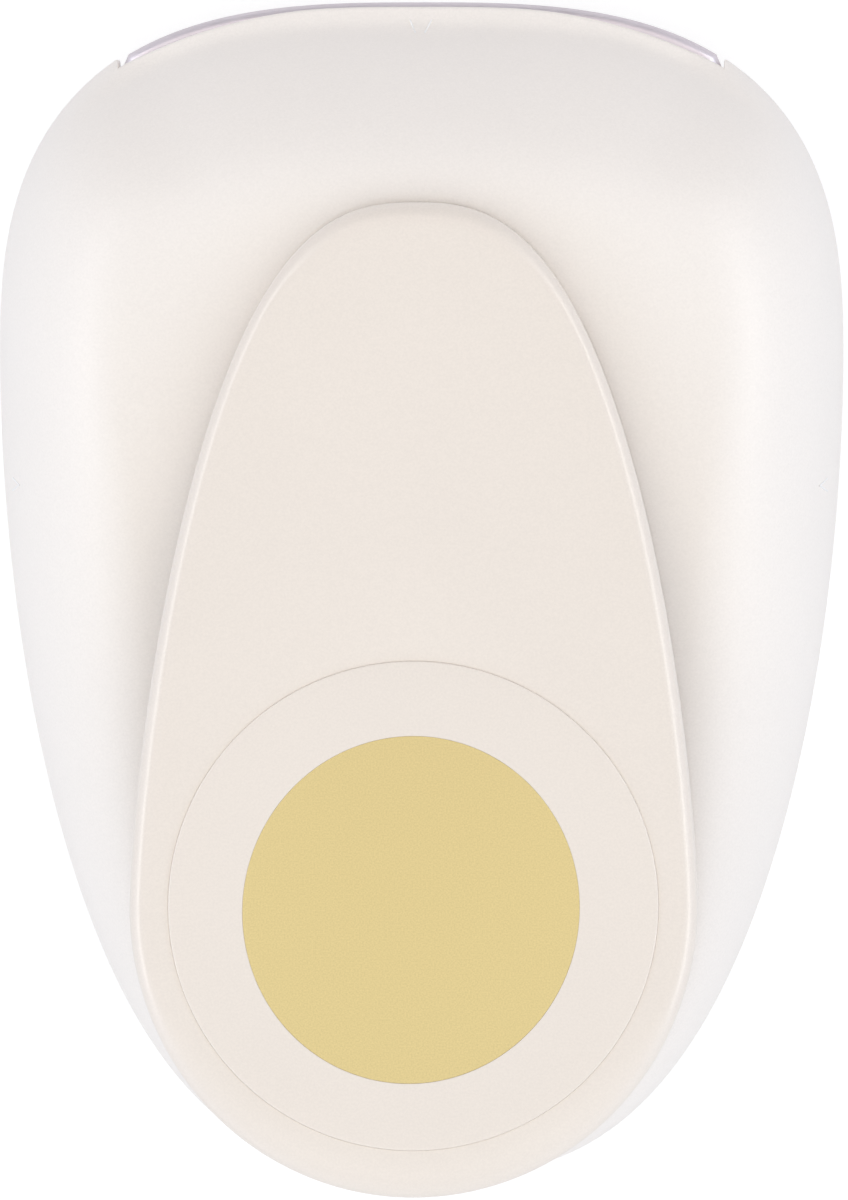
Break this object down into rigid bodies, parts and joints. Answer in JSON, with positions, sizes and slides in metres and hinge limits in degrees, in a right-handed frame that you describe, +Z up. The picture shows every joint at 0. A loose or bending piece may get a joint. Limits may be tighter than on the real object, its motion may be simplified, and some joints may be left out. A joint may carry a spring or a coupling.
{
  "type": "circle punch",
  "caption": "Hand-pressed paper punch for round discs: egg-shaped housing with a front paper slot, a sprung rear lever with a round gold label, steel punch and die inside.",
  "frame": {"origin": "on the table under the middle of the punch's length and width", "axes": "+Z up, +Y to the front with the paper slot, +X to the right as seen from above with the front at the top"},
  "size_m": [0.083, 0.116, 0.055],
  "materials": {
    "cream_plastic": "satin moulded",
    "base_plastic": "fine matt grain",
    "carrier_plastic": "plain moulded",
    "cast_metal": "satin cast, ground on its faces",
    "shim_steel": "rolled sheet",
    "bright_steel": "bright turned",
    "punch_steel": "ground",
    "gold_foil": "satin foil",
    "foot_rubber": "matt"
  },
  "bodies": {
    "body": {"shell": "cream_plastic", "base_cover": "base_plastic", "lower_die": "cast_metal", "throat_spacer": "shim_steel", "punch_guide": "cast_metal", "guide_post_1": "bright_steel", "guide_post_2": "bright_steel", "guide_post_3": "bright_steel", "guide_post_4": "bright_steel", "return_spring_1": "bright_steel", "return_spring_2": "bright_steel", "return_spring_3": "bright_steel", "return_spring_4": "bright_steel", "hinge_pin": "bright_steel", "hinge_bush_left": "carrier_plastic", "hinge_bush_right": "carrier_plastic", "hinge_clip_left": "bright_steel", "hinge_clip_right": "bright_steel", "frame_screw_1": "bright_steel", "frame_screw_2": "bright_steel", "frame_screw_3": "bright_steel", "frame_screw_4": "bright_steel", "base_screw_1": "bright_steel", "base_screw_2": "bright_steel", "base_screw_3": "bright_steel", "base_screw_4": "bright_steel", "foot_1": "foot_rubber", "foot_2": "foot_rubber", "foot_3": "foot_rubber", "foot_4": "foot_rubber"},
    "lever_arm": {"lever": "cream_plastic", "lever_core": "cast_metal", "press_pin": "bright_steel", "lever_disc": "cream_plastic", "gold_label": "gold_foil", "lever_screw_1": "bright_steel", "lever_screw_2": "bright_steel"},
    "punch_slider": {"punch": "punch_steel", "punch_carrier": "carrier_plastic", "punch_screw_1": "bright_steel", "punch_screw_2": "bright_steel"}
  },
  "joints": [
    {"name": "lever_hinge", "type": "hinge", "parent": "body", "child": "lever_arm", "pos_m": [0, 0.028, 0.029], "axis": [1, 0, 0], "range_deg": [0, 16.13], "stiffness_Nm_per_rad": 0.6, "springref_deg": -11.46},
    {"name": "punch_slide", "type": "slide", "parent": "body", "child": "punch_slider", "axis": [0, 0, -1], "range_m": [0, 0.0048], "stiffness_N_per_m": 40, "springref_m": -0.004, "deforming": ["return_spring_1", "return_spring_2", "return_spring_3", "return_spring_4"]}
  ],
  "couplings": [
    {"joint": "punch_slide", "follows": "lever_hinge", "m_per_rad": 0.01704}
  ]
}
